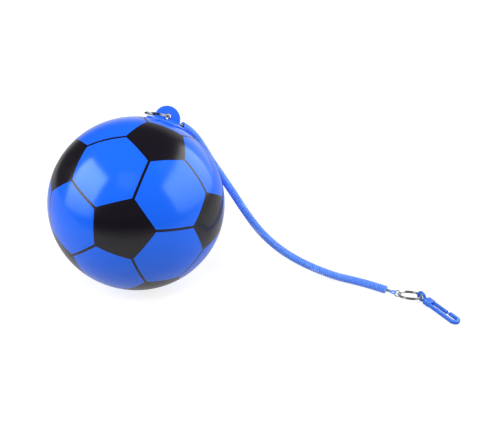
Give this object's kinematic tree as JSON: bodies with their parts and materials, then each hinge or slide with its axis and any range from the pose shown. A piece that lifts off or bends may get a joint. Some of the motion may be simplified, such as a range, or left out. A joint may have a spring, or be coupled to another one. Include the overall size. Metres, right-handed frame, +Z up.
{
  "type": "tetherball set",
  "caption": "Inflated ball with a soccer pattern, on a spiral cord with split rings and a swivel snap hook, for tethered play.",
  "frame": {"origin": "middle of the small flat that the resting ball stands on", "axes": "+Z up; the cord leaves the ball towards +X and comes forward to -Y, the side the set is seen from"},
  "size_m": [0.4549, 0.2015, 0.2056],
  "materials": {
    "ball_blue": "glossy thin PVC",
    "print_black": "glossy printed ink",
    "valve_blue": "soft PVC",
    "ear_blue": "welded PVC",
    "steel": "nickel plated",
    "crimp": "crimped, satin",
    "cord_blue": "wound plastic wire",
    "hook_blue": "moulded plastic",
    "spring_steel": "drawn"
  },
  "bodies": {
    "ball": {"ball_skin": "ball_blue", "pentagon_print": "print_black", "seam_print": "print_black", "valve_seat": "valve_blue", "ear_patch": "ear_blue", "ear_tab": "ear_blue"},
    "valve_plug": {"valve_plug": "valve_blue"},
    "ear_ring": {"ear_split_ring": "steel"},
    "near_link": {"near_link": "steel"},
    "cord": {"near_wire_eye": "cord_blue", "near_ferrule": "crimp", "spiral_cord": "cord_blue", "far_ferrule": "crimp", "far_wire_eye": "cord_blue"},
    "far_link": {"far_link": "steel"},
    "hook_ring": {"hook_split_ring": "steel"},
    "swivel": {"swivel_eye": "hook_blue"},
    "hook": {"hook_frame": "hook_blue", "gate_pin": "spring_steel", "gate_spring": "spring_steel"},
    "gate": {"snap_gate": "hook_blue"}
  },
  "joints": [
    {"name": "plug_pull", "type": "slide", "parent": "ball", "child": "valve_plug", "axis": [-0.4785, 0.8229, 0.3062], "range_m": [0, 0.008]},
    {"name": "ear_ring_swing", "type": "hinge", "parent": "ball", "child": "ear_ring", "pos_m": [0.03501, 0.03322, 0.19343], "axis": [-0.1608, 0.9484, -0.2732], "range_deg": [0, 24]},
    {"name": "near_link_lift", "type": "hinge", "parent": "ball", "child": "near_link", "pos_m": [0.0321, 0.03942, 0.19196], "axis": [0.6392, -0.758, 0.13], "range_deg": [0, 35]},
    {"name": "cord_swing", "type": "hinge", "parent": "near_link", "child": "cord", "pos_m": [0.03529, 0.04133, 0.18976], "axis": [-0.3328, -0.3898, -0.8587], "range_deg": [0, 30]},
    {"name": "far_link_lift", "type": "hinge", "parent": "cord", "child": "far_link", "pos_m": [0.29821, -0.04408, 0.00505], "axis": [-0.5919, -0.806, 0], "range_deg": [0, 45]},
    {"name": "hook_ring_lift", "type": "hinge", "parent": "far_link", "child": "hook_ring", "pos_m": [0.30069, -0.04498, 0.00452], "axis": [-0.3537, -0.908, 0.2246], "range_deg": [0, 60]},
    {"name": "swivel_lift", "type": "hinge", "parent": "hook_ring", "child": "swivel", "pos_m": [0.32519, -0.05414, 0.00608], "axis": [-0.3537, -0.908, 0.2246], "range_deg": [0, 60]},
    {"name": "swivel_spin", "type": "hinge", "parent": "swivel", "child": "hook", "pos_m": [0.3284, -0.05977, 0.00579], "axis": [0.4938, -0.8657, -0.0819], "continuous": true},
    {"name": "gate_open", "type": "hinge", "parent": "hook", "child": "gate", "pos_m": [0.33389, -0.06455, 0.00522], "axis": [-0.0406, 0.0712, -0.9966], "range_deg": [0, 10], "stiffness_Nm_per_rad": 0.03, "springref_deg": -17.19}
  ]
}
